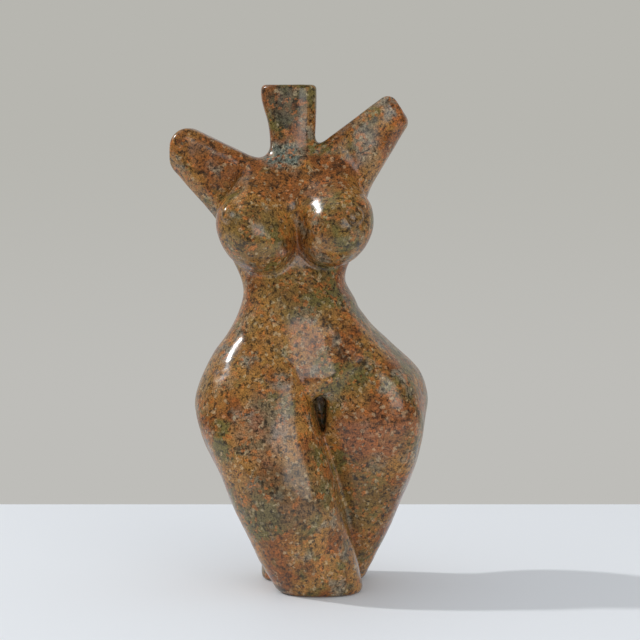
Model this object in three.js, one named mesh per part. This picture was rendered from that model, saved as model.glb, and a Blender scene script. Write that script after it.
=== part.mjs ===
import * as THREE from 'three';

// A female torso carved from one block of stone, with short raised arms, a plain neck block
// instead of a head, and legs that cross and end in two flat soles.
// Millimetres, +Z up. The figure faces -Y, and its soles rest on z = 0.
// The carving is one smooth field: negative inside the stone, zero on its surface. Each form of the
// body is a field of its own, and soft joins and cuts bring them together.

// Driving dimensions

const HEIGHT = 300;
const FACET = 5.5;
const LOWEST = new THREE.Vector3(-86, -80, -6);
const HIGHEST = new THREE.Vector3(86, 70, 306);

// The middle of the carving as it is measured below, which is brought over the origin
const MIDDLE = { x: -0.3, y: -2.7 };

// Trunk, from the shoulders down to the crotch: height, left, right, front, back
const TRUNK = [
  [258, -24, 26, -14.5, 15],
  [246, -35, 36, -18.5, 18],
  [236, -42, 38, -20, 20],
  [226, -45, 38, -21, 22],
  [214, -44, 36.5, -21.5, 24],
  [202, -42.5, 33, -21.5, 25],
  [191, -38, 28, -23.5, 26],
  [179, -34.2, 27.4, -28.3, 28],
  [167, -36.3, 33, -33, 32],
  [156, -40.8, 41.2, -35.6, 36],
  [143, -47.8, 54.5, -38, 40],
  [131, -54, 67.5, -39.8, 42],
  [121, -57.5, 72, -38.5, 43],
  [110, -57, 72.5, -30, 43],
  [98, -51.5, 64.5, -20, 39],
  [88, -45.5, 56.5, -12, 32],
  [76, -32, 42, -5, 20],
];
const TRUNK_MIDDLE = 1;
const TRUNK_ROUNDNESS = 2.2;
const TRUNK_SLANT = 0.14;
const SHOULDER_TOP = { height: 258, edge: 14 };
const CROTCH = { height: 76, edge: 16 };

// Legs, each from inside the hip down past its sole: height, left, right, middle depth,
// reach in front and behind, and how far the section leans forward for each millimetre to the right
const FRONT_LEG = [
  [176, -23, -19, -3, 3, 5, -0.8],
  [162, -29, -18.5, -8, 8, 10, -0.8],
  [150, -35.5, -15.5, -15.5, 15, 17, -0.78],
  [143, -40, -10.5, -17, 18.5, 21, -0.7],
  [136, -44.5, -3.5, -19.5, 19.5, 25, -0.52],
  [128, -49, 1.5, -23, 21, 32, -0.32],
  [117, -55, 6, -25, 23.5, 38, -0.18],
  [101, -58.4, 10.5, -27.8, 26, 44, -0.1],
  [87, -54.3, 14.7, -29.3, 28, 44, -0.08],
  [70, -46.8, 20.2, -30.2, 30, 40, -0.06],
  [52, -39.6, 25.2, -30.3, 30, 35, -0.03],
  [34, -31, 30, -28, 27.5, 30, 0],
  [16, -22.6, 34.6, -25.5, 25, 26, 0],
  [0, -13.5, 37.4, -22.5, 22.7, 22.7, 0],
  [-12, -7, 39, -21, 22, 22, 0],
];
const BACK_LEG = [
  [168, 20, 26, 0, 14, 8, -0.2],
  [156, 18, 36, 1, 28, 18, -0.25],
  [148, 17, 46, 1, 33, 24, -0.28],
  [140, 15, 54, 1, 36.5, 28, -0.3],
  [132, 12, 62.5, 1, 39, 30, -0.3],
  [117, 4, 71, 1, 41.5, 32, -0.3],
  [101, -4, 73.8, 2, 42, 32, -0.3],
  [87, -8, 72.2, 4, 41, 29, -0.28],
  [70, -11, 67.8, 7, 38, 26.5, -0.25],
  [52, -14.5, 61, 9, 33, 28.5, -0.2],
  [34, -18.5, 54, 11, 28, 27.5, -0.14],
  [18, -22, 46.8, 13, 23.5, 25.5, -0.08],
  [6, -24.2, 41.2, 15, 20.5, 24, -0.05],
  [0, -24, 38.7, 15.5, 20, 23.5, 0],
  [-12, -22, 34, 16, 19, 22, 0],
];
const FRONT_LEG_ROUNDNESS = 2.3;
const BACK_LEG_ROUNDNESS = 2.8;
const LEG_TOP_EDGE = 8;
const SOLE_EDGE = 3.5;

// Neck block: height, left, right, half its depth
const NECK = [
  [300, -23, 9.6, 14.5],
  [290, -22.7, 9.6, 14.3],
  [280, -19.8, 9.3, 14],
  [270, -18.2, 8.9, 14.2],
  [260, -18.2, 8.7, 15],
  [248, -21, 11, 17],
  [236, -24, 15, 18],
];
const NECK_FOOT = 236;
const NECK_EDGE = 3;
const NECK_BEVEL = { left: 3, right: 3.9, edge: 2, angle: THREE.MathUtils.degToRad(51.5) };

// Arms: slabs with an outline seen from the front, corners clockwise as x and height.
// Each bevel runs along one side of the outline, named by the side's two corners.
const MIDDLE_DEPTH = 0.5;
const ARM_EDGE = 5;
const LEFT_ARM = slab({
  outline: [[-77.8, 252.4], [-76.4, 280.6], [-6, 246.4], [0, 220], [-34, 202.4]],
  corner: 11,
  halfDepth: 17,
  bevels: [
    { side: [4, 0], width: 7, edge: 3 },
    { side: [1, 2], width: 2.5, edge: 5 },
  ],
});
const RIGHT_ARM = slab({
  outline: [[12, 265.1], [53.2, 295.9], [65.2, 278], [20, 203], [-6, 240]],
  corner: 6,
  halfDepth: 16.5,
  bevels: [
    { side: [2, 3], width: 6, edge: 7 },
    { side: [0, 1], width: 4.2, edge: 1.2 },
    { side: [1, 2], width: 4, edge: 1.5 },
  ],
});

// Rounded forms: centre, reach across, ahead and upright, the way ahead and the upright way
const UP = [0, 0, 1];
const BACKWARD = [0, 1, 0];
const LEFT_BREAST = egg([-26, -21, 214.8], [21.5, 28, 27], [-0.33, -0.92, 0.15], [-0.5, 0, 0.85]);
const RIGHT_BREAST = egg([21, -21, 217], [21, 27, 25], [0.3, -0.92, 0.15], [0.45, 0, 0.87]);
const LEFT_NIPPLE = egg([-41.2, -41.7, 225.2], [4.2, 3.2, 5.6], [-0.61, -0.71, 0.35], UP);
const RIGHT_NIPPLE = egg([31.9, -44.5, 224.1], [5, 2, 5], [0.44, -0.86, 0.27], UP);
const LEFT_BUTTOCK = egg([-23, 15.5, 105], [33, 30, 31], BACKWARD, UP);
const RIGHT_BUTTOCK = egg([35, 24.5, 98], [33, 31, 27], BACKWARD, UP);

// Cuts: the groove beside the belly, the hollow of the spine, and the pocket where the thighs meet
const GROIN = { from: [13, -40, 111], to: [37, -41, 134], radii: [3.5, 1], edge: 9 };
const SPINE = { from: [-4, 30, 238], to: [-1, 35, 168], radii: [3, 3], edge: 12 };
const POCKET = {
  top: [11.6, 113],
  foot: [13.4, 97],
  radii: [4, 1.2],
  floor: { depth: -14, edge: 3 },
  edge: 2.5,
};

// How far the joins between forms spread
const SOFT = {
  arms: 4,
  shoulders: 8,
  neck: 7,
  breasts: { low: 3, high: 15, from: 212, to: 230 },
  bust: { low: 4, high: 24, from: 206, to: 240, middle: -2.5, near: 26, far: 44 },
  nipples: 2,
  crest: 3.5,
  hip: { front: 20, back: 16, near: 5, far: 43, from: 60, to: 100 },
  cleft: 5,
  seat: 18,
};

// Curves and joins

// A natural cubic curve through rows of [place, value, value, ...], as a function of the place
function curveThrough(rows) {
  const sorted = [...rows].sort((a, b) => a[0] - b[0]);
  const places = sorted.map((row) => row[0]);
  const last = places.length - 1;
  const gaps = places.slice(1).map((place, i) => place - places[i]);
  const columns = sorted[0].slice(1).map((_, c) => {
    const values = sorted.map((row) => row[c + 1]);
    return { values, bends: bendsOf(values, gaps) };
  });
  return (place) => {
    const t = THREE.MathUtils.clamp(place, places[0], places[last]);
    let i = 0;
    while (i < last - 1 && t > places[i + 1]) {
      i += 1;
    }
    const gap = gaps[i];
    const a = (places[i + 1] - t) / gap;
    const b = 1 - a;
    return columns.map(({ values, bends }) => {
      const bend = (a ** 3 - a) * bends[i] + (b ** 3 - b) * bends[i + 1];
      return a * values[i] + b * values[i + 1] + (bend * gap * gap) / 6;
    });
  };
}

// Second derivatives of the natural cubic curve, by elimination down and back up
function bendsOf(values, gaps) {
  const last = values.length - 1;
  const above = new Array(last + 1).fill(0);
  const right = new Array(last + 1).fill(0);
  for (let i = 1; i < last; i += 1) {
    const turn = (values[i + 1] - values[i]) / gaps[i] - (values[i] - values[i - 1]) / gaps[i - 1];
    const pivot = 2 * (gaps[i - 1] + gaps[i]) - gaps[i - 1] * above[i - 1];
    above[i] = gaps[i] / pivot;
    right[i] = (6 * turn - gaps[i - 1] * right[i - 1]) / pivot;
  }
  const bends = new Array(last + 1).fill(0);
  for (let i = last - 1; i > 0; i -= 1) {
    bends[i] = right[i] - above[i] * bends[i + 1];
  }
  return bends;
}

// Union and intersection of two fields, rounded over a width
function join(a, b, width) {
  const near = Math.max(width - Math.abs(a - b), 0) / width;
  return Math.min(a, b) - (near * near * width) / 4;
}

function meet(a, b, width) {
  return -join(-a, -b, width);
}

function ramp({ low, high, from, to }, at) {
  return low + (high - low) * THREE.MathUtils.smoothstep(at, from, to);
}

// Forms

// Keeps the divisions below from dividing by nothing at the middle of a form
const TINY = 1e-6;

// A level section, round or squarish by the power, with its own reach each way, leaning by slant
function section(dx, dy, reach, power, slant = 0) {
  const level = dy - slant * dx;
  const a = dx < 0 ? reach.left : reach.right;
  const b = level < 0 ? reach.front : reach.back;
  const u = Math.abs(dx) / a;
  const v = Math.abs(level) / b;
  const size = (u ** power + v ** power) ** (1 / power) + TINY;
  const across = (Math.sign(dx) * size ** (1 - power) * u ** (power - 1)) / a;
  const along = (Math.sign(level) * size ** (1 - power) * v ** (power - 1)) / b;
  return (size - 1) / (Math.hypot(across - slant * along, along) + TINY);
}

function egg(centre, radii, ahead, upright) {
  const forward = new THREE.Vector3(...ahead).normalize();
  const tall = new THREE.Vector3(...upright).projectOnPlane(forward).normalize();
  const across = new THREE.Vector3().crossVectors(forward, tall);
  const turn = new THREE.Matrix4().makeBasis(across, forward, tall);
  return { inverse: turn.setPosition(...centre).invert(), radii: new THREE.Vector3(...radii) };
}

function eggField(point, { inverse, radii }) {
  const scaled = point.clone().applyMatrix4(inverse).divide(radii);
  const size = scaled.length();
  const slope = scaled.divide(radii).length() + TINY;
  return (size * (size - 1)) / slope;
}

// A tapered rod with round ends
function rodField(point, { from, to, radii }) {
  const start = new THREE.Vector3(...from);
  const line = new THREE.Line3(start, new THREE.Vector3(...to));
  const t = line.closestPointToPointParameter(point, true);
  const nearest = line.at(t, new THREE.Vector3());
  return point.distanceTo(nearest) - THREE.MathUtils.lerp(radii[0], radii[1], t);
}

// Height above the line from p to q, seen from the front, on its left hand side
function aboveLine(x, z, p, q) {
  const length = Math.hypot(q[0] - p[0], q[1] - p[1]);
  return ((z - p[1]) * (q[0] - p[0]) - (x - p[0]) * (q[1] - p[1])) / length;
}

// A convex outline shrunk by its corner radius, so that growing it again rounds the corners
function shrunkOutline(outline, corner) {
  const sides = outline.map((p, i) => {
    const q = outline[(i + 1) % outline.length];
    const length = Math.hypot(q[0] - p[0], q[1] - p[1]);
    const normal = [-(q[1] - p[1]) / length, (q[0] - p[0]) / length];
    return { normal, offset: normal[0] * p[0] + normal[1] * p[1] - corner };
  });
  return sides.map((side, i) => {
    const before = sides[(i + sides.length - 1) % sides.length];
    const [a, b] = before.normal;
    const [c, d] = side.normal;
    const turn = a * d - b * c;
    return [(before.offset * d - b * side.offset) / turn, (a * side.offset - before.offset * c) / turn];
  });
}

function outlineField(x, z, core, corner) {
  let inside = -Infinity;
  let outside = Infinity;
  core.forEach((p, i) => {
    const q = core[(i + 1) % core.length];
    const dx = q[0] - p[0];
    const dz = q[1] - p[1];
    const along = ((x - p[0]) * dx + (z - p[1]) * dz) / (dx * dx + dz * dz);
    const t = THREE.MathUtils.clamp(along, 0, 1);
    inside = Math.max(inside, aboveLine(x, z, p, q));
    outside = Math.min(outside, Math.hypot(x - p[0] - t * dx, z - p[1] - t * dz));
  });
  return (inside < 0 ? inside : outside) - corner;
}

function slab(arm) {
  return { ...arm, core: shrunkOutline(arm.outline, arm.corner) };
}

function armField({ x, y, z }, { outline, core, corner, halfDepth, bevels }) {
  const face = Math.abs(y - MIDDLE_DEPTH) - halfDepth;
  let stone = meet(outlineField(x, z, core, corner), face, ARM_EDGE);
  for (const { side, width, edge } of bevels) {
    const above = aboveLine(x, z, outline[side[0]], outline[side[1]]);
    stone = meet(stone, (above + width + face) * Math.SQRT1_2, edge);
  }
  return stone;
}

const trunkAt = curveThrough(TRUNK);
const frontLegAt = curveThrough(FRONT_LEG);
const backLegAt = curveThrough(BACK_LEG);
const neckAt = curveThrough(NECK);

function trunkField({ x, y, z }) {
  const [left, right, front, back] = trunkAt(z);
  const middle = (left + right) / 2;
  const half = (right - left) / 2;
  const reach = { left: half, right: half, front: TRUNK_MIDDLE - front, back: back - TRUNK_MIDDLE };
  const round = section(x - middle, y - TRUNK_MIDDLE, reach, TRUNK_ROUNDNESS, TRUNK_SLANT);
  const lowered = meet(round, z - SHOULDER_TOP.height, SHOULDER_TOP.edge);
  return meet(lowered, CROTCH.height - z, CROTCH.edge);
}

function legField({ x, y, z }, [left, right, middle, front, back, slant], power, top) {
  const half = (right - left) / 2;
  const reach = { left: half, right: half, front, back };
  const round = section(x - (left + right) / 2, y - middle, reach, power, slant);
  return meet(round, z - top, LEG_TOP_EDGE);
}

function neckField({ x, y, z }) {
  const [left, right, halfDepth] = neckAt(z);
  const face = Math.abs(y - MIDDLE_DEPTH) - halfDepth;
  const across = Math.cos(NECK_BEVEL.angle);
  const ahead = Math.sin(NECK_BEVEL.angle);
  const sides = meet(x - right, left - x, NECK_BEVEL.edge);
  const rightBevel = across * (x - right) + ahead * face + NECK_BEVEL.right;
  const leftBevel = across * (left - x) + ahead * face + NECK_BEVEL.left;
  const bevels = meet(rightBevel, leftBevel, NECK_BEVEL.edge);
  const block = meet(meet(sides, face, NECK_EDGE), bevels, NECK_EDGE);
  return meet(meet(block, z - HEIGHT, NECK_EDGE), NECK_FOOT - z, NECK_EDGE);
}

// A flat tapered slot seen from the front, cut back as far as its floor
function pocketField({ x, y, z }) {
  const dx = POCKET.foot[0] - POCKET.top[0];
  const dz = POCKET.foot[1] - POCKET.top[1];
  const along = ((x - POCKET.top[0]) * dx + (z - POCKET.top[1]) * dz) / (dx * dx + dz * dz);
  const t = THREE.MathUtils.clamp(along, 0, 1);
  const gap = Math.hypot(x - POCKET.top[0] - t * dx, z - POCKET.top[1] - t * dz);
  const radius = THREE.MathUtils.lerp(POCKET.radii[0], POCKET.radii[1], t);
  return meet(gap - radius, y - POCKET.floor.depth, POCKET.floor.edge);
}

// The whole figure

// The breasts melt into the chest above and between them, and stand clear of it at their sides
function bustWidth({ x, z }) {
  const { middle, near, far } = SOFT.bust;
  const inside = 1 - THREE.MathUtils.smoothstep(Math.abs(x - middle), near, far);
  return THREE.MathUtils.lerp(SOFT.bust.low, ramp(SOFT.bust, z), inside);
}

function upperBody(point) {
  const arms = join(armField(point, LEFT_ARM), armField(point, RIGHT_ARM), SOFT.arms);
  const shoulders = join(trunkField(point), arms, SOFT.shoulders);
  const torso = join(shoulders, neckField(point), SOFT.neck);
  const between = ramp(SOFT.breasts, point.z);
  const breasts = join(eggField(point, LEFT_BREAST), eggField(point, RIGHT_BREAST), between);
  const nipples = Math.min(eggField(point, LEFT_NIPPLE), eggField(point, RIGHT_NIPPLE));
  const bust = join(breasts, nipples, SOFT.nipples);
  return join(torso, bust, bustWidth(point));
}

// The front thigh keeps a sharp crest on its right and melts into the hip on its left
function addLegs(stone, point) {
  const front = frontLegAt(point.z);
  const back = backLegAt(point.z);
  const { hip, crest } = SOFT;
  const past = point.x - front[1];
  const frontWidth = crest + hip.front * THREE.MathUtils.smoothstep(-past, hip.near, hip.far);
  const height = THREE.MathUtils.smoothstep(point.z, hip.from, hip.to);
  const backWidth = crest + hip.back * height * THREE.MathUtils.smoothstep(past, hip.near, hip.far);
  const frontLeg = legField(point, front, FRONT_LEG_ROUNDNESS, FRONT_LEG[0][0]);
  const backLeg = legField(point, back, BACK_LEG_ROUNDNESS, BACK_LEG[0][0]);
  return join(join(stone, frontLeg, frontWidth), backLeg, backWidth);
}

function figure(point) {
  const legs = addLegs(upperBody(point), point);
  const seat = join(eggField(point, LEFT_BUTTOCK), eggField(point, RIGHT_BUTTOCK), SOFT.cleft);
  let stone = join(legs, seat, SOFT.seat);
  stone = meet(stone, -rodField(point, GROIN), GROIN.edge);
  stone = meet(stone, -rodField(point, SPINE), SPINE.edge);
  stone = meet(stone, -pocketField(point), POCKET.edge);
  return meet(stone, -point.z, SOLE_EDGE);
}

// Facets: one corner in each grid cell that the surface crosses, pulled onto the surface, and one
// four-sided facet, made of two triangles, round each grid edge that it crosses

function sampleGrid(field) {
  const size = HIGHEST.clone().sub(LOWEST).divideScalar(FACET).ceil().addScalar(1);
  const [nx, ny, nz] = size.toArray();
  const values = new Float64Array(nx * ny * nz);
  const index = (i, j, k) => (i * ny + j) * nz + k;
  const place = (i, j, k) => new THREE.Vector3(i, j, k).multiplyScalar(FACET).add(LOWEST);
  for (let i = 0; i < nx; i += 1) {
    for (let j = 0; j < ny; j += 1) {
      for (let k = 0; k < nz; k += 1) {
        values[index(i, j, k)] = field(place(i, j, k));
      }
    }
  }
  return { nx, ny, nz, values, index, place };
}

// Where stone meets stone only across the diagonal of a grid face, its shallower empty corner is
// filled, so that no two parts of the surface touch along a line
function fillDiagonals({ nx, ny, nz, values, index }) {
  const barelyInside = -0.01;
  const turns = [[[1, 0, 0], [0, 1, 0]], [[0, 1, 0], [0, 0, 1]], [[0, 0, 1], [1, 0, 0]]];
  let filled = true;
  while (filled) {
    filled = false;
    for (let i = 0; i < nx - 1; i += 1) {
      for (let j = 0; j < ny - 1; j += 1) {
        for (let k = 0; k < nz - 1; k += 1) {
          for (const [u, v] of turns) {
            const face = [
              index(i, j, k),
              index(i + u[0], j + u[1], k + u[2]),
              index(i + u[0] + v[0], j + u[1] + v[1], k + u[2] + v[2]),
              index(i + v[0], j + v[1], k + v[2]),
            ];
            const inside = face.map((corner) => values[corner] < 0);
            if (inside[0] === inside[2] && inside[1] === inside[3] && inside[0] !== inside[1]) {
              const empty = inside[0] ? [face[1], face[3]] : [face[0], face[2]];
              const shallower = values[empty[0]] < values[empty[1]] ? empty[0] : empty[1];
              values[shallower] = barelyInside;
              filled = true;
            }
          }
        }
      }
    }
  }
}

// How a facet's corner finds its place in a grid cell
const PULL = { reach: 0.05, planeRounds: 16, surfaceRounds: 3, furthest: FACET / 2, leastSlope: 0.05 };

const CELL_CORNERS = [0, 1, 2, 3, 4, 5, 6, 7].map((n) => [n >> 2, (n >> 1) & 1, n & 1]);
const CELL_EDGES = CELL_CORNERS.flatMap((a, n) =>
  CELL_CORNERS.slice(n + 1)
    .filter((b) => Math.abs(a[0] - b[0]) + Math.abs(a[1] - b[1]) + Math.abs(a[2] - b[2]) === 1)
    .map((b) => [a, b]));

function slopeAt(field, point) {
  const side = (axis) => {
    const step = new THREE.Vector3().setComponent(axis, PULL.reach);
    return (field(point.clone().add(step)) - field(point.clone().sub(step))) / (2 * PULL.reach);
  };
  return new THREE.Vector3(side(0), side(1), side(2));
}

// The places where the surface crosses a cell's edges, each with the way it faces there
function crossingsOf(grid, field, i, j, k) {
  const crossings = [];
  for (const [a, b] of CELL_EDGES) {
    const start = grid.values[grid.index(i + a[0], j + a[1], k + a[2])];
    const end = grid.values[grid.index(i + b[0], j + b[1], k + b[2])];
    if (start < 0 !== end < 0) {
      const from = grid.place(i + a[0], j + a[1], k + a[2]);
      const to = grid.place(i + b[0], j + b[1], k + b[2]);
      const place = from.lerp(to, start / (start - end));
      crossings.push({ place, normal: slopeAt(field, place).normalize() });
    }
  }
  return crossings;
}

// Where the planes through a cell's crossings come closest to meeting, so that creases stay crisp,
// and from there onto the surface
function cornerAmong(crossings, field) {
  const middle = new THREE.Vector3();
  for (const { place } of crossings) {
    middle.addScaledVector(place, 1 / crossings.length);
  }
  const corner = middle.clone();
  for (let round = 0; round < PULL.planeRounds; round += 1) {
    const pull = new THREE.Vector3();
    for (const { place, normal } of crossings) {
      pull.addScaledVector(normal, normal.dot(place) - normal.dot(corner));
    }
    corner.addScaledVector(pull, 1 / crossings.length);
  }
  corner.sub(middle).clampLength(0, PULL.furthest).add(middle);
  for (let round = 0; round < PULL.surfaceRounds; round += 1) {
    const slope = slopeAt(field, corner);
    const step = slope.multiplyScalar(-field(corner) / Math.max(slope.lengthSq(), PULL.leastSlope));
    corner.add(step.clampLength(0, PULL.furthest));
  }
  return corner;
}

function carve(field) {
  const grid = sampleGrid(field);
  fillDiagonals(grid);
  const corners = [];
  const cornerOf = new Map();
  for (let i = 0; i < grid.nx - 1; i += 1) {
    for (let j = 0; j < grid.ny - 1; j += 1) {
      for (let k = 0; k < grid.nz - 1; k += 1) {
        const crossings = crossingsOf(grid, field, i, j, k);
        if (crossings.length > 0) {
          cornerOf.set(grid.index(i, j, k), corners.length);
          corners.push(cornerAmong(crossings, field));
        }
      }
    }
  }
  const triangles = [];
  const addFacet = (start, end, cells) => {
    if (start < 0 === end < 0) return;
    const [a, b, c, d] = cells.map(([i, j, k]) => cornerOf.get(grid.index(i, j, k)));
    const shortWay = corners[a].distanceTo(corners[c]) < corners[b].distanceTo(corners[d]);
    const halves = shortWay ? [[a, b, c], [a, c, d]] : [[b, c, d], [b, d, a]];
    for (const half of halves) {
      triangles.push(...(start < 0 ? half : half.reverse()));
    }
  };
  const { values, index } = grid;
  for (let i = 1; i < grid.nx - 1; i += 1) {
    for (let j = 1; j < grid.ny - 1; j += 1) {
      for (let k = 1; k < grid.nz - 1; k += 1) {
        const here = values[index(i, j, k)];
        addFacet(here, values[index(i + 1, j, k)],
          [[i, j - 1, k - 1], [i, j, k - 1], [i, j, k], [i, j - 1, k]]);
        addFacet(here, values[index(i, j + 1, k)],
          [[i - 1, j, k - 1], [i - 1, j, k], [i, j, k], [i, j, k - 1]]);
        addFacet(here, values[index(i, j, k + 1)],
          [[i - 1, j - 1, k], [i, j - 1, k], [i, j, k], [i - 1, j, k]]);
      }
    }
  }
  const geometry = new THREE.BufferGeometry();
  const places = corners.flatMap((corner) => corner.toArray());
  geometry.setAttribute('position', new THREE.Float32BufferAttribute(places, 3));
  geometry.setIndex(triangles);
  geometry.computeVertexNormals();
  return geometry;
}

const stone = new THREE.MeshStandardMaterial({ color: 0x6e4a2a, roughness: 0.22, metalness: 0 });
const torso = new THREE.Mesh(carve(figure), stone);
torso.name = 'torso';
torso.position.set(-MIDDLE.x, -MIDDLE.y, 0);

const sculpture = new THREE.Group();
sculpture.add(torso);

export default sculpture;
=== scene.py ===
"""A polished carved stone torso on a pale table, under a soft window-like light and a small lamp."""
import math

import bpy
import numpy as np
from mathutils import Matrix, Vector


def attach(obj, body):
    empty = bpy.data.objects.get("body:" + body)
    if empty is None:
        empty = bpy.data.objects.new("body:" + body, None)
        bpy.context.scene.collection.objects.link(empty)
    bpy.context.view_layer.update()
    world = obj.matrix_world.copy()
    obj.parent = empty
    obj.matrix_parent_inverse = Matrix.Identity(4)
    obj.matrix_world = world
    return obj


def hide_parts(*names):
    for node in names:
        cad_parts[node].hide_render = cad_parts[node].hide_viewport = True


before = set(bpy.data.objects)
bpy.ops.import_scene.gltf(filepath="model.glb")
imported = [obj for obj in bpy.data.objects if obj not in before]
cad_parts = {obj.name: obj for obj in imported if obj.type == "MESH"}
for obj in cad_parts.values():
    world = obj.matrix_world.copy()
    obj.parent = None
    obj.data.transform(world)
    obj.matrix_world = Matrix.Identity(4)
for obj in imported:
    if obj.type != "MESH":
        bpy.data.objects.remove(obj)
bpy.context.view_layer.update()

# Driving dimensions, millimetres.
# The same forms as the solid's, measured from the same origin: the figure faces -Y, its soles rest
# on z = 0, and MIDDLE is brought over the origin.
MM = 0.001
HEIGHT = 300.0
MIDDLE = np.array([-0.3, -2.7, 0.0])
LOWEST = np.array([-86.0, -82.0, -6.0])
HIGHEST = np.array([86.0, 76.0, 306.0])
STEP = 1.28
COARSE = 4
BAND = 8.0

# height, left, right, front, back
TRUNK = [
    (258, -24, 26, -14.5, 15),
    (246, -35, 36, -18.5, 18),
    (236, -42, 38, -20, 20),
    (226, -45, 38, -21, 22),
    (214, -44, 36.5, -21.5, 24),
    (202, -42.5, 33, -21.5, 25),
    (191, -38, 28, -23.5, 26),
    (179, -34.2, 27.4, -28.3, 28),
    (167, -36.3, 33, -33, 32),
    (156, -40.8, 41.2, -35.6, 36),
    (143, -47.8, 54.5, -38, 40),
    (131, -54, 67.5, -39.8, 42),
    (121, -57.5, 72, -38.5, 43),
    (110, -57, 72.5, -30, 43),
    (98, -51.5, 64.5, -20, 39),
    (88, -45.5, 56.5, -12, 32),
    (76, -32, 42, -5, 20),
]
TRUNK_MIDDLE = 1.0
TRUNK_ROUNDNESS = 2.2
TRUNK_TURN = 0.14
SHOULDER_TOP = (258, 14)
CROTCH = (76, 16)

# height, left, right, middle depth, reach in front and behind, slant
FRONT_LEG = [
    (176, -23, -19, -3, 3, 5, -0.8),
    (162, -29, -18.5, -8, 8, 10, -0.8),
    (150, -35.5, -15.5, -15.5, 15, 17, -0.78),
    (143, -40, -10.5, -17, 18.5, 21, -0.7),
    (136, -44.5, -3.5, -19.5, 19.5, 25, -0.52),
    (128, -49, 1.5, -23, 21, 32, -0.32),
    (117, -55, 6, -25, 23.5, 38, -0.18),
    (101, -58.4, 10.5, -27.8, 26, 44, -0.1),
    (87, -54.3, 14.7, -29.3, 28, 44, -0.08),
    (70, -46.8, 20.2, -30.2, 30, 40, -0.06),
    (52, -39.6, 25.2, -30.3, 30, 35, -0.03),
    (34, -31, 30, -28, 27.5, 30, 0),
    (16, -22.6, 34.6, -25.5, 25, 26, 0),
    (0, -13.5, 37.4, -22.5, 22.7, 22.7, 0),
    (-12, -7, 39, -21, 22, 22, 0),
]
BACK_LEG = [
    (168, 20, 26, 0, 14, 8, -0.2),
    (156, 18, 36, 1, 28, 18, -0.25),
    (148, 17, 46, 1, 33, 24, -0.28),
    (140, 15, 54, 1, 36.5, 28, -0.3),
    (132, 12, 62.5, 1, 39, 30, -0.3),
    (117, 4, 71, 1, 41.5, 32, -0.3),
    (101, -4, 73.8, 2, 42, 32, -0.3),
    (87, -8, 72.2, 4, 41, 29, -0.28),
    (70, -11, 67.8, 7, 38, 26.5, -0.25),
    (52, -14.5, 61, 9, 33, 28.5, -0.2),
    (34, -18.5, 54, 11, 28, 27.5, -0.14),
    (18, -22, 46.8, 13, 23.5, 25.5, -0.08),
    (6, -24.2, 41.2, 15, 20.5, 24, -0.05),
    (0, -24, 38.7, 15.5, 20, 23.5, 0),
    (-12, -22, 34, 16, 19, 22, 0),
]
FRONT_LEG_ROUNDNESS = 2.3
BACK_LEG_ROUNDNESS = 2.8
LEG_TOP_EDGE = 8.0
SOLE_EDGE = 3.5

# height, left, right, half depth
NECK = [
    (300, -23, 9.6, 14.5),
    (290, -22.7, 9.6, 14.3),
    (280, -19.8, 9.3, 14),
    (270, -18.2, 8.9, 14.2),
    (260, -18.2, 8.7, 15),
    (248, -21, 11, 17),
    (236, -24, 15, 18),
]
NECK_FOOT = 236.0
NECK_EDGE = 3.0
NECK_BEVEL = {"left": 3.0, "right": 3.9, "edge": 2.0, "angle": math.radians(51.5)}

MIDDLE_DEPTH = 0.5
ARM_EDGE = 5.0
LEFT_ARM = {
    "outline": [(-77.8, 252.4), (-76.4, 280.6), (-6, 246.4), (0, 220), (-34, 202.4)],
    "corner": 11.0,
    "half_depth": 17.0,
    "bevels": [((4, 0), 7.0, 3.0), ((1, 2), 2.5, 5.0)],
}
RIGHT_ARM = {
    "outline": [(12, 265.1), (53.2, 295.9), (65.2, 278), (20, 203), (-6, 240)],
    "corner": 6.0,
    "half_depth": 16.5,
    "bevels": [((2, 3), 6.0, 7.0), ((0, 1), 4.2, 1.2), ((1, 2), 4.0, 1.5)],
}

# Eggs: centre, reach across, ahead and upright, the way ahead and the upright way
UP = (0, 0, 1)
BACKWARD = (0, 1, 0)
LEFT_BREAST = ((-26, -21, 214.8), (21.5, 28, 27), (-0.33, -0.92, 0.15), (-0.5, 0, 0.85))
RIGHT_BREAST = ((21, -21, 217), (21, 27, 25), (0.3, -0.92, 0.15), (0.45, 0, 0.87))
LEFT_NIPPLE = ((-41.2, -41.7, 225.2), (4.2, 3.2, 5.6), (-0.61, -0.71, 0.35), UP)
RIGHT_NIPPLE = ((31.9, -44.5, 224.1), (5, 2, 5), (0.44, -0.86, 0.27), UP)
LEFT_BUTTOCK = ((-23, 15.5, 105), (33, 30, 31), BACKWARD, UP)
RIGHT_BUTTOCK = ((35, 24.5, 98), (33, 31, 27), BACKWARD, UP)

# Cuts: from, to, radii, edge
GROIN = ((13, -40, 111), (37, -41, 134), (3.5, 1.0), 9.0)
SPINE = ((-4, 30, 238), (-1, 35, 168), (3.0, 3.0), 12.0)
POCKET = {"top": (11.6, 113), "foot": (13.4, 97), "radii": (4.0, 1.2), "floor": (-14.0, 3.0), "edge": 2.5}

# How far the joins between forms spread; a ramp is (low, high, from, to)
SOFT_ARMS = 4.0
SOFT_SHOULDERS = 8.0
SOFT_NECK = 7.0
SOFT_BREASTS = (3.0, 15.0, 212.0, 230.0)
SOFT_BUST = {"low": 4.0, "more": 20.0, "height": (206.0, 240.0), "middle": -2.5, "reach": (44.0, 26.0)}
SOFT_NIPPLES = 2.0
SOFT_CREST = 3.5
SOFT_HIP = {"front": 20.0, "back": 16.0, "reach": (5.0, 43.0), "height": (60.0, 100.0)}
SOFT_CLEFT = 5.0
SOFT_SEAT = 18.0
TINY = 1e-6


# Curves and joins

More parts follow.
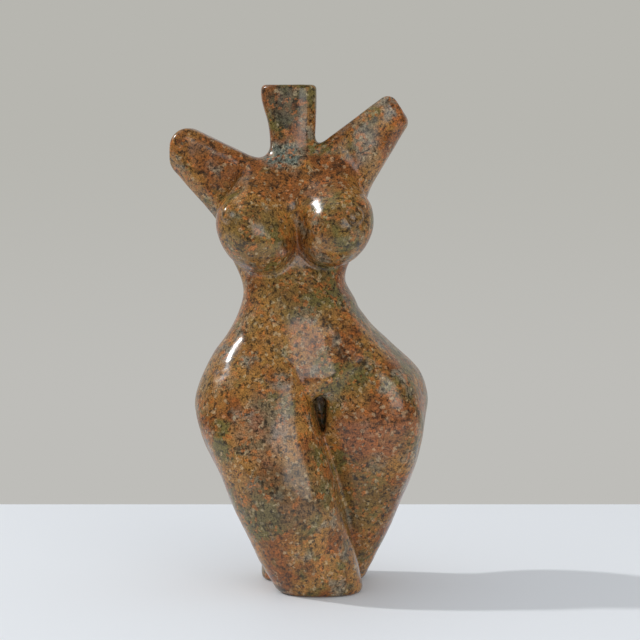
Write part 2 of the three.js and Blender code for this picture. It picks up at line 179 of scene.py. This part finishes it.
def curve_through(rows):
    """A natural cubic curve through rows of (place, value, ...), as a function of the place."""
    table = np.array(sorted(rows), float)
    places, values = table[:, 0], table[:, 1:]
    gaps = np.diff(places)
    last = len(places) - 1
    system = np.eye(last + 1)
    right = np.zeros_like(values)
    for i in range(1, last):
        system[i, i - 1:i + 2] = gaps[i - 1], 2 * (gaps[i - 1] + gaps[i]), gaps[i]
        turn = (values[i + 1] - values[i]) / gaps[i] - (values[i] - values[i - 1]) / gaps[i - 1]
        right[i] = 6 * turn
    bends = np.linalg.solve(system, right)

    def at(place):
        t = np.clip(place, places[0], places[-1])
        i = np.clip(np.searchsorted(places, t) - 1, 0, last - 1)
        gap = gaps[i]
        a = (places[i + 1] - t) / gap
        b = 1 - a
        wide = (a ** 3 - a) * gap ** 2 / 6, (b ** 3 - b) * gap ** 2 / 6
        return [
            a * values[i, c] + b * values[i + 1, c] + wide[0] * bends[i, c] + wide[1] * bends[i + 1, c]
            for c in range(values.shape[1])
        ]

    return at


def join(a, b, width):
    near = np.maximum(width - np.abs(a - b), 0) / width
    return np.minimum(a, b) - near * near * width / 4


def meet(a, b, width):
    return -join(-a, -b, width)


def smooth(t, start, end):
    s = np.clip((t - start) / (end - start), 0, 1)
    return s * s * (3 - 2 * s)


def ramp(rule, at):
    low, high, start, end = rule
    return low + (high - low) * smooth(at, start, end)


# Forms

def section(dx, dy, reach, power, slant=0.0):
    """A level section, round or squarish by the power, leaning by slant."""
    left, right, front, back = reach
    level = dy - slant * dx
    a = np.where(dx < 0, left, right)
    b = np.where(level < 0, front, back)
    u, v = np.abs(dx) / a, np.abs(level) / b
    size = (u ** power + v ** power) ** (1 / power) + TINY
    across = np.sign(dx) * size ** (1 - power) * u ** (power - 1) / a
    along = np.sign(level) * size ** (1 - power) * v ** (power - 1) / b
    return (size - 1) / (np.hypot(across - slant * along, along) + TINY)


def egg_field(x, y, z, egg):
    centre, radii, ahead, upright = (np.array(v, float) for v in egg)
    forward = ahead / np.linalg.norm(ahead)
    tall = upright - forward * (upright @ forward)
    tall /= np.linalg.norm(tall)
    turn = np.array([np.cross(forward, tall), forward, tall])
    local = np.stack([x - centre[0], y - centre[1], z - centre[2]], -1) @ turn.T / radii
    size = np.linalg.norm(local, axis=-1)
    slope = np.linalg.norm(local / radii, axis=-1) + TINY
    return size * (size - 1) / slope


def rod_field(x, y, z, start, end, radii):
    start, end = np.array(start, float), np.array(end, float)
    line = end - start
    gap = [x - start[0], y - start[1], z - start[2]]
    t = np.clip(sum(g * d for g, d in zip(gap, line)) / (line @ line), 0, 1)
    gap = [g - t * d for g, d in zip(gap, line)]
    return np.sqrt(sum(g * g for g in gap)) - (radii[0] + (radii[1] - radii[0]) * t)


def above_line(x, z, p, q):
    return ((z - p[1]) * (q[0] - p[0]) - (x - p[0]) * (q[1] - p[1])) / math.dist(p, q)


def outline_field(x, z, outline, corner):
    """A convex outline seen from the front, corners clockwise and rounded."""
    sides = []
    for p, q in zip(outline, outline[1:] + outline[:1]):
        length = math.dist(p, q)
        normal = np.array([-(q[1] - p[1]) / length, (q[0] - p[0]) / length])
        sides.append((normal, normal @ p - corner))
    core = [
        np.linalg.solve(np.array([before[0], side[0]]), [before[1], side[1]])
        for before, side in zip(sides[-1:] + sides[:-1], sides)
    ]
    inside, outside = -np.inf, np.inf
    for (normal, offset), p, q in zip(sides, core, core[1:] + core[:1]):
        dx, dz = q - p
        t = np.clip(((x - p[0]) * dx + (z - p[1]) * dz) / (dx * dx + dz * dz), 0, 1)
        inside = np.maximum(inside, normal[0] * x + normal[1] * z - offset)
        outside = np.minimum(outside, np.hypot(x - p[0] - t * dx, z - p[1] - t * dz))
    return np.where(inside < 0, inside, outside) - corner


def arm_field(x, y, z, arm):
    outline = arm["outline"]
    face = np.abs(y - MIDDLE_DEPTH) - arm["half_depth"]
    stone = meet(outline_field(x, z, outline, arm["corner"]), face, ARM_EDGE)
    for (start, end), width, edge in arm["bevels"]:
        above = above_line(x, z, outline[start], outline[end])
        stone = meet(stone, (above + width + face) / math.sqrt(2), edge)
    return stone


trunk_at = curve_through(TRUNK)
front_leg_at = curve_through(FRONT_LEG)
back_leg_at = curve_through(BACK_LEG)
neck_at = curve_through(NECK)


def trunk_field(x, y, z):
    left, right, front, back = trunk_at(z)
    half = (right - left) / 2
    reach = half, half, TRUNK_MIDDLE - front, back - TRUNK_MIDDLE
    body = section(x - (left + right) / 2, y - TRUNK_MIDDLE, reach, TRUNK_ROUNDNESS, TRUNK_TURN)
    body = meet(body, z - SHOULDER_TOP[0], SHOULDER_TOP[1])
    return meet(body, CROTCH[0] - z, CROTCH[1])


def leg_field(x, y, z, at, power, top):
    left, right, middle, front, back, slant = at
    half = (right - left) / 2
    body = section(x - (left + right) / 2, y - middle, (half, half, front, back), power, slant)
    return meet(body, z - top, LEG_TOP_EDGE)


def neck_field(x, y, z):
    left, right, half_depth = neck_at(z)
    face = np.abs(y - MIDDLE_DEPTH) - half_depth
    across, ahead = math.cos(NECK_BEVEL["angle"]), math.sin(NECK_BEVEL["angle"])
    sides = meet(x - right, left - x, NECK_BEVEL["edge"])
    right_bevel = across * (x - right) + ahead * face + NECK_BEVEL["right"]
    left_bevel = across * (left - x) + ahead * face + NECK_BEVEL["left"]
    bevels = meet(right_bevel, left_bevel, NECK_BEVEL["edge"])
    block = meet(meet(sides, face, NECK_EDGE), bevels, NECK_EDGE)
    return meet(meet(block, z - HEIGHT, NECK_EDGE), NECK_FOOT - z, NECK_EDGE)


def pocket_field(x, y, z):
    """A flat tapered slot seen from the front, cut back as far as its floor."""
    top, foot, radii = POCKET["top"], POCKET["foot"], POCKET["radii"]
    dx, dz = foot[0] - top[0], foot[1] - top[1]
    t = np.clip(((x - top[0]) * dx + (z - top[1]) * dz) / (dx * dx + dz * dz), 0, 1)
    gap = np.hypot(x - top[0] - t * dx, z - top[1] - t * dz)
    depth, edge = POCKET["floor"]
    return meet(gap - radii[0] - (radii[1] - radii[0]) * t, y - depth, edge)


def upper_body(x, y, z):
    arms = join(arm_field(x, y, z, LEFT_ARM), arm_field(x, y, z, RIGHT_ARM), SOFT_ARMS)
    shoulders = join(trunk_field(x, y, z), arms, SOFT_SHOULDERS)
    torso = join(shoulders, neck_field(x, y, z), SOFT_NECK)
    breasts = join(egg_field(x, y, z, LEFT_BREAST), egg_field(x, y, z, RIGHT_BREAST), ramp(SOFT_BREASTS, z))
    nipples = np.minimum(egg_field(x, y, z, LEFT_NIPPLE), egg_field(x, y, z, RIGHT_NIPPLE))
    bust = join(breasts, nipples, SOFT_NIPPLES)
    rising = smooth(z, *SOFT_BUST["height"]) * smooth(np.abs(x - SOFT_BUST["middle"]), *SOFT_BUST["reach"])
    return join(torso, bust, SOFT_BUST["low"] + SOFT_BUST["more"] * rising)


def figure(x, y, z):
    front, back = front_leg_at(z), back_leg_at(z)
    past = x - front[1]
    front_width = SOFT_CREST + SOFT_HIP["front"] * smooth(-past, *SOFT_HIP["reach"])
    high = smooth(z, *SOFT_HIP["height"])
    back_width = SOFT_CREST + SOFT_HIP["back"] * high * smooth(past, *SOFT_HIP["reach"])
    stone = join(
        upper_body(x, y, z),
        leg_field(x, y, z, front, FRONT_LEG_ROUNDNESS, FRONT_LEG[0][0]),
        front_width,
    )
    stone = join(stone, leg_field(x, y, z, back, BACK_LEG_ROUNDNESS, BACK_LEG[0][0]), back_width)
    seat = join(egg_field(x, y, z, LEFT_BUTTOCK), egg_field(x, y, z, RIGHT_BUTTOCK), SOFT_CLEFT)
    stone = join(stone, seat, SOFT_SEAT)
    for start, end, radii, edge in (GROIN, SPINE):
        stone = meet(stone, -rod_field(x, y, z, start, end, radii), edge)
    stone = meet(stone, -pocket_field(x, y, z), POCKET["edge"])
    return meet(stone, -z, SOLE_EDGE)


# The carved surface as a mesh

# Slow unevenness left by rubbing down by hand: reach in millimetres, wavelength, direction
WAVER = [
    (0.05, 23.0, (0.8, 0.1, 0.6)),
    (0.05, 19.0, (-0.5, 0.5, 0.7)),
    (0.04, 14.0, (0.3, -0.8, 0.5)),
    (0.03, 9.5, (-0.7, -0.3, 0.6)),
]


def waver(x, y, z):
    total = 0.0
    for n, (reach, wave, way) in enumerate(WAVER):
        way = np.array(way) / np.linalg.norm(way)
        along = (x * way[0] + y * way[1] + z * way[2]) * 2 * math.pi / wave
        bend = np.sin((x * way[2] - z * way[0] + y) * 2 * math.pi / (wave * 1.7) + n)
        total = total + reach * np.sin(along + 1.9 * bend + n)
    return total


def surface(x, y, z):
    return figure(x, y, z) + waver(x, y, z) * smooth(z, 1.0, 6.0)


def sample_grid():
    """Exact values near the surface, and straight-line ones between coarse samples elsewhere."""
    cells = np.ceil((HIGHEST - LOWEST) / (STEP * COARSE)).astype(int)
    axes = [LOWEST[a] + np.arange(cells[a] + 1) * STEP * COARSE for a in range(3)]
    grid = surface(*np.meshgrid(*axes, indexing="ij"))
    for a in range(3):
        at = np.arange(cells[a] * COARSE + 1) / COARSE
        low = np.minimum(at.astype(int), cells[a] - 1)
        share = (at - low).reshape([-1 if b == a else 1 for b in range(3)])
        grid = np.take(grid, low, a) * (1 - share) + np.take(grid, low + 1, a) * share
    near = np.nonzero(np.abs(grid) < BAND)
    grid[near] = surface(*(LOWEST[a] + near[a] * STEP for a in range(3)))
    return grid


def fill_diagonals(grid):
    """Fills the shallower empty corner where stone meets stone only across a grid face's diagonal."""
    barely_inside = -0.01
    found = True
    while found:
        found = False
        for a, b in ((0, 1), (1, 2), (2, 0)):
            def face(i, j):
                cut = [slice(None)] * 3
                cut[a] = slice(i, grid.shape[a] - 1 + i)
                cut[b] = slice(j, grid.shape[b] - 1 + j)
                return grid[tuple(cut)]
            corners = [face(0, 0), face(1, 0), face(1, 1), face(0, 1)]
            inside = [c < 0 for c in corners]
            for k in (0, 1):
                crossed = inside[k] & inside[k + 2] & ~inside[1 - k] & ~inside[3 - k]
                if crossed.any():
                    found = True
                    shallow = corners[1 - k] <= corners[3 - k]
                    corners[1 - k][crossed & shallow] = barely_inside
                    corners[3 - k][crossed & ~shallow] = barely_inside
    return grid


def slope_at(points, reach):
    sides = []
    for a in range(3):
        step = np.eye(3)[a] * reach
        sides.append((surface(*(points + step).T) - surface(*(points - step).T)) / (2 * reach))
    return np.stack(sides, -1)


def carve():
    """One corner in each grid cell that the surface crosses, pulled onto it, and four-sided faces."""
    grid = fill_diagonals(sample_grid())
    inside = grid < 0
    cells = np.array(grid.shape) - 1
    total = np.zeros(tuple(cells) + (3,))
    count = np.zeros(tuple(cells))
    faces = []
    for a in range(3):
        b, c = (a + 1) % 3, (a + 2) % 3
        start = [slice(None)] * 3
        end = [slice(None)] * 3
        start[a], end[a] = slice(0, -1), slice(1, None)
        start, end = tuple(start), tuple(end)
        edges = np.nonzero(inside[start] != inside[end])
        low, high = grid[start][edges], grid[end][edges]
        place = np.stack(edges, -1).astype(float)
        place[:, a] += low / (low - high)
        around = []
        for db, dc in ((-1, -1), (0, -1), (0, 0), (-1, 0)):
            cell = [e.copy() for e in edges]
            cell[b] += db
            cell[c] += dc
            np.add.at(total, tuple(cell), place)
            np.add.at(count, tuple(cell), 1)
            around.append(np.ravel_multi_index(cell, tuple(cells)))
        quads = np.stack(around, -1)
        outward = inside[start][edges]
        quads[~outward] = quads[~outward][:, ::-1]
        faces.append(quads)
    used = np.flatnonzero(count.ravel())
    points = total.reshape(-1, 3)[used] / count.ravel()[used, None] * STEP + LOWEST
    number = np.full(count.size, -1)
    number[used] = np.arange(len(used))
    faces = number[np.concatenate(faces)]
    for _ in range(3):
        slope = slope_at(points, 0.05)
        move = -surface(*points.T)[:, None] * slope / np.maximum((slope ** 2).sum(-1), 0.05)[:, None]
        length = np.linalg.norm(move, axis=-1, keepdims=True)
        points += move * np.minimum(1, 0.5 * STEP / np.maximum(length, TINY))
    normals = slope_at(points, 0.3)
    normals /= np.linalg.norm(normals, axis=-1, keepdims=True)
    return points, faces, normals


def build_torso():
    points, faces, normals = carve()
    mesh = bpy.data.meshes.new("carved_torso")
    mesh.vertices.add(len(points))
    mesh.vertices.foreach_set("co", ((points - MIDDLE) * MM).ravel())
    mesh.loops.add(faces.size)
    mesh.loops.foreach_set("vertex_index", faces.ravel())
    mesh.polygons.add(len(faces))
    mesh.polygons.foreach_set("loop_start", np.arange(0, faces.size, 4))
    mesh.polygons.foreach_set("loop_total", np.full(len(faces), 4))
    mesh.polygons.foreach_set("use_smooth", np.ones(len(faces), bool))
    mesh.update(calc_edges=True)
    mesh.validate()
    mesh.normals_split_custom_set_from_vertices(normals)
    piece = bpy.data.objects.new("carved_torso", mesh)
    bpy.context.scene.collection.objects.link(piece)
    return piece


torso = build_torso()


# The stone

class Nodes:
    """Short names for the shader nodes that the stone is made of."""

    def __init__(self, tree):
        self.tree = tree
        self.tree.nodes.clear()

    def add(self, kind, **values):
        node = self.tree.nodes.new(kind)
        for name, value in values.items():
            setattr(node, name, value)
        return node

    def put(self, socket, value):
        if isinstance(value, bpy.types.NodeSocket):
            self.tree.links.new(value, socket)
        elif value is not None:
            socket.default_value = value

    def math(self, operation, a, b=None, clamp=False):
        node = self.add("ShaderNodeMath", operation=operation, use_clamp=clamp)
        self.put(node.inputs[0], a)
        self.put(node.inputs[1], b)
        return node.outputs[0]

    def vector(self, operation, a, b=None, scale=None):
        node = self.add("ShaderNodeVectorMath", operation=operation)
        self.put(node.inputs[0], a)
        self.put(node.inputs[1], b)
        if scale is not None:
            self.put(node.inputs["Scale"], scale)
        return node.outputs["Value" if operation in ("DISTANCE", "LENGTH", "DOT_PRODUCT") else "Vector"]

    def mix(self, share, a, b, blend="MIX"):
        node = self.add("ShaderNodeMix", data_type="RGBA", blend_type=blend)
        self.put(node.inputs[0], share)
        self.put(node.inputs[6], a)
        self.put(node.inputs[7], b)
        return node.outputs[2]

    def span(self, value, start, end, low=0.0, high=1.0):
        """value carried smoothly from start..end to low..high"""
        node = self.add("ShaderNodeMapRange", interpolation_type="SMOOTHSTEP")
        for socket, v in zip(node.inputs, (value, start, end, low, high)):
            self.put(socket, v)
        return node.outputs[0]

    def noise(self, at, size, detail=2.0, roughness=0.5, distortion=0.0, colour=False):
        """size is the distance between its lumps, in millimetres"""
        node = self.add("ShaderNodeTexNoise")
        self.put(node.inputs["Vector"], at)
        node.inputs["Scale"].default_value = 1 / size
        node.inputs["Detail"].default_value = detail
        node.inputs["Roughness"].default_value = roughness
        node.inputs["Distortion"].default_value = distortion
        return node.outputs["Color" if colour else "Fac"]

    def cells(self, at, size, feature="F1", output="Distance"):
        node = self.add("ShaderNodeTexVoronoi", feature=feature)
        self.put(node.inputs["Vector"], at)
        node.inputs["Scale"].default_value = 1 / size
        return node.outputs[output]

    def nudged(self, at, size, reach):
        """at, moved about by up to half of reach, with lumps of that size"""
        shift = self.vector("SUBTRACT", self.noise(at, size, 2, colour=True), (0.5, 0.5, 0.5))
        return self.vector("ADD", at, self.vector("SCALE", shift, scale=reach))


def shade(r, g, b):
    """A screen colour, 0 to 255, as the light it reflects."""
    return tuple(
        c / 12.92 if c <= 0.04045 else ((c + 0.055) / 1.055) ** 2.4
        for c in (r / 255, g / 255, b / 255)
    ) + (1.0,)


# The stone's colours
RUST = shade(128, 76, 34)
OCHRE = shade(150, 106, 50)
OLIVE = shade(104, 92, 48)
GREY = shade(124, 112, 92)
TEAL = shade(98, 108, 98)
DARK = shade(34, 26, 16)
ORANGE = shade(184, 104, 44)
PALE = shade(186, 168, 132)
MAUVE = shade(132, 104, 90)

# Clouds of one colour: centre, radii, colour, how strong
CLOUDS = [
    ((-8, -15, 288), (13, 20, 14), shade(78, 76, 58), 0.8),
    ((-10, -16, 259), (15, 16, 10), TEAL, 0.9),
    ((-4, -22, 240), (44, 20, 12), RUST, 0.75),
    ((39, -16, 266), (9, 12, 17), GREY, 0.7),
    ((-50, -16, 262), (24, 20, 14), RUST, 0.7),
    ((-26, -45, 214), (22, 20, 20), OLIVE, 0.6),
    ((28, -45, 218), (20, 20, 20), OLIVE, 0.5),
    ((0, -28, 180), (26, 20, 22), OLIVE, 0.5),
    ((-22, -34, 160), (18, 20, 22), OCHRE, 0.6),
    ((-50, -30, 122), (14, 30, 20), OCHRE, 0.6),
    ((-8, -50, 62), (30, 30, 24), shade(96, 84, 58), 0.6),
    ((-22, -55, 100), (20, 20, 22), MAUVE, 0.4),
    ((44, -40, 98), (24, 30, 20), shade(140, 84, 48), 0.7),
    ((38, -36, 55), (22, 30, 26), OLIVE, 0.6),
]


def stone_material():
    material = bpy.data.materials.new("polished_brown_stone")
    material.use_nodes = True
    n = Nodes(material.node_tree)
    out = n.add("ShaderNodeOutputMaterial")
    shader = n.add("ShaderNodeBsdfPrincipled")
    n.tree.links.new(shader.outputs[0], out.inputs[0])

    # the place in the stone, in millimetres, and the same place nudged about so that edges are ragged
    place = n.vector("SCALE", n.add("ShaderNodeTexCoord").outputs["Object"], scale=1 / MM)
    place = n.vector("ADD", place, tuple(MIDDLE))
    ragged = n.nudged(place, 10, 9)
    ragged = n.nudged(ragged, 2.6, 3.4)

    colour = n.mix(n.span(n.noise(ragged, 24, 3), 0.42, 0.58), RUST, OCHRE)
    colour = n.mix(n.span(n.noise(n.vector("ADD", ragged, (90, 0, 0)), 20, 3), 0.5, 0.64), colour, OLIVE)
    colour = n.mix(n.span(n.noise(n.vector("ADD", ragged, (0, 90, 0)), 15, 4), 0.54, 0.68), colour, GREY)
    for centre, radii, tint, share in CLOUDS:
        local = n.vector("DIVIDE", n.vector("SUBTRACT", ragged, centre), radii)
        inside = n.span(n.vector("LENGTH", local), 1.15, 0.55, 0, share)
        colour = n.mix(inside, colour, tint)

    # orange grains, dark pepper and a fine grain over everything
    grains = n.cells(n.nudged(place, 2, 1.6), 1.9, output="Color")
    picked = n.add("ShaderNodeSeparateColor")
    n.put(picked.inputs[0], grains)
    patches = n.span(n.noise(n.vector("ADD", place, (0, 0, 90)), 9, 3), 0.42, 0.6)
    bright = n.math("MULTIPLY", n.span(picked.outputs[0], 0.62, 0.8), patches)
    colour = n.mix(n.math("MULTIPLY", bright, 0.55), colour, ORANGE)
    pale = n.span(picked.outputs[1], 0.86, 0.97, 0, 0.4)
    colour = n.mix(pale, colour, PALE)
    pepper = n.noise(n.nudged(place, 3, 2), 2.4, 4, 0.72)
    colour = n.mix(n.span(pepper, 0.5, 0.38, 0, 0.85), colour, DARK)
    streaks = n.noise(n.vector("ADD", ragged, (45, 45, 0)), 7, 4, 0.65)
    colour = n.mix(n.span(streaks, 0.46, 0.34, 0, 0.6), colour, DARK)
    grain = n.noise(place, 0.8, 2, 0.6)
    lift = n.span(grain, 0.3, 0.7, 0.55, 1.5)
    colour = n.vector("SCALE", colour, scale=lift)
    n.put(shader.inputs["Base Color"], colour)

    rough = n.span(n.noise(place, 5, 3), 0.35, 0.65, 0.17, 0.27)
    n.put(shader.inputs["Roughness"], rough)
    shader.inputs["IOR"].default_value = 1.5
    bump = n.add("ShaderNodeBump")
    bump.inputs["Strength"].default_value = 0.35
    bump.inputs["Distance"].default_value = 0.05 * MM
    n.put(bump.inputs["Height"], n.math("ADD", pepper, grain))
    n.put(shader.inputs["Normal"], bump.outputs[0])
    return material


torso.data.materials.append(stone_material())
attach(torso, "root")
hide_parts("torso")


# Table, light and camera

CAMERA_PLACE = Vector((11.7, -1240.0, 262.0))
CAMERA_PITCH = math.radians(4.7177)
CAMERA_LENS = 116.4447
SENSOR = 36.0
TABLE_BACK = 276.0
TABLE_FRONT = -400.0
TABLE_HALF_WIDTH = 900.0
TABLE_THICKNESS = 18.0


def placed(x, y, z):
    """A place measured like the figure's dimensions, in the row frame's metres."""
    return Vector((x - MIDDLE[0], y - MIDDLE[1], z)) * MM


def plain_material(name, colour, roughness):
    material = bpy.data.materials.new(name)
    material.use_nodes = True
    shader = material.node_tree.nodes["Principled BSDF"]
    shader.inputs["Base Color"].default_value = colour
    shader.inputs["Roughness"].default_value = roughness
    return material


def build_table():
    low = placed(-TABLE_HALF_WIDTH, TABLE_FRONT, -TABLE_THICKNESS)
    high = placed(TABLE_HALF_WIDTH, TABLE_BACK, 0)
    corners = [(x, y, z) for z in (low.z, high.z) for y in (low.y, high.y) for x in (low.x, high.x)]
    faces = [(0, 2, 3, 1), (4, 5, 7, 6), (0, 1, 5, 4), (2, 6, 7, 3), (0, 4, 6, 2), (1, 3, 7, 5)]
    mesh = bpy.data.meshes.new("table")
    mesh.from_pydata(corners, [], faces)
    table = bpy.data.objects.new("table", mesh)
    bpy.context.scene.collection.objects.link(table)
    table.data.materials.append(plain_material("pale_table", (0.8, 0.83, 0.86, 1), 0.6))
    return table


def direction(azimuth, height):
    """Unit vector by compass angle, 0 towards the camera and growing to its right, and height angle."""
    a, h = math.radians(azimuth), math.radians(height)
    return Vector((math.sin(a) * math.cos(h), -math.cos(a) * math.cos(h), math.sin(h)))


def add_light(name, azimuth, height, distance, size, radiance, colour=(1, 1, 1), shape="RECTANGLE"):
    """An area light that faces the figure's middle. radiance is what a mirror would show."""
    aim = placed(0, 0, 150)
    data = bpy.data.lights.new(name, "AREA")
    data.shape = shape
    data.size = size[0] * MM
    data.size_y = size[1] * MM
    area = data.size * data.size_y * (math.pi / 4 if shape in ("DISK", "ELLIPSE") else 1)
    data.energy = radiance * area * math.pi
    data.color = colour
    light = bpy.data.objects.new(name, data)
    away = direction(azimuth, height)
    light.location = aim + away * distance * MM
    light.rotation_euler = away.to_track_quat("Z", "Y").to_euler()
    bpy.context.scene.collection.objects.link(light)
    light.visible_camera = False
    return light


def build_world():
    world = bpy.data.worlds.new("studio")
    bpy.context.scene.world = world
    world.use_nodes = True
    n = Nodes(world.node_tree)
    at = n.add("ShaderNodeTexCoord").outputs["Generated"]
    split = n.add("ShaderNodeSeparateXYZ")
    n.put(split.inputs[0], at)
    x, y, z = split.outputs
    rays = n.add("ShaderNodeLightPath").outputs
    # the wall that the camera sees is a plain colour with painted shade: a little darker high up and
    # lighter low down
    wall_with_painted_shade = n.mix(n.span(z, -0.13, 0.02), shade(190, 189, 185), shade(183, 182, 176))
    behind = n.span(y, 0.2, 0.8)
    left_top = n.math("MULTIPLY", n.span(x, -0.1, -0.45), n.span(z, 0.75, 0.9))
    glossy = n.mix(behind, (0.12, 0.12, 0.12, 1), (0.5, 0.49, 0.47, 1))
    glossy = n.mix(left_top, glossy, (1, 1, 1, 1))
    seen = n.mix(rays["Is Glossy Ray"], (0.62, 0.63, 0.65, 1), glossy)
    seen = n.mix(rays["Is Camera Ray"], seen, wall_with_painted_shade)
    shader = n.add("ShaderNodeBackground")
    n.put(shader.inputs["Color"], seen)
    shader.inputs["Strength"].default_value = 1.0
    out = n.add("ShaderNodeOutputWorld")
    n.tree.links.new(shader.outputs[0], out.inputs[0])


build_table()
build_world()
key = add_light("key", -100, 38, 4000, (200, 200), 780, shape="DISK")
softbox = add_light("softbox", 24, 12, 1700, (1250, 860), 2.6)

camera_data = bpy.data.cameras.new("camera")
camera_data.lens = CAMERA_LENS
camera_data.sensor_width = SENSOR
camera_data.sensor_fit = "HORIZONTAL"
camera_data.clip_end = 20
camera = bpy.data.objects.new("camera", camera_data)
camera.location = placed(*CAMERA_PLACE)
camera.rotation_euler = (math.pi / 2 - CAMERA_PITCH, 0, 0)
bpy.context.scene.collection.objects.link(camera)
bpy.context.scene.camera = camera
bpy.context.scene.view_settings.view_transform = "Standard"
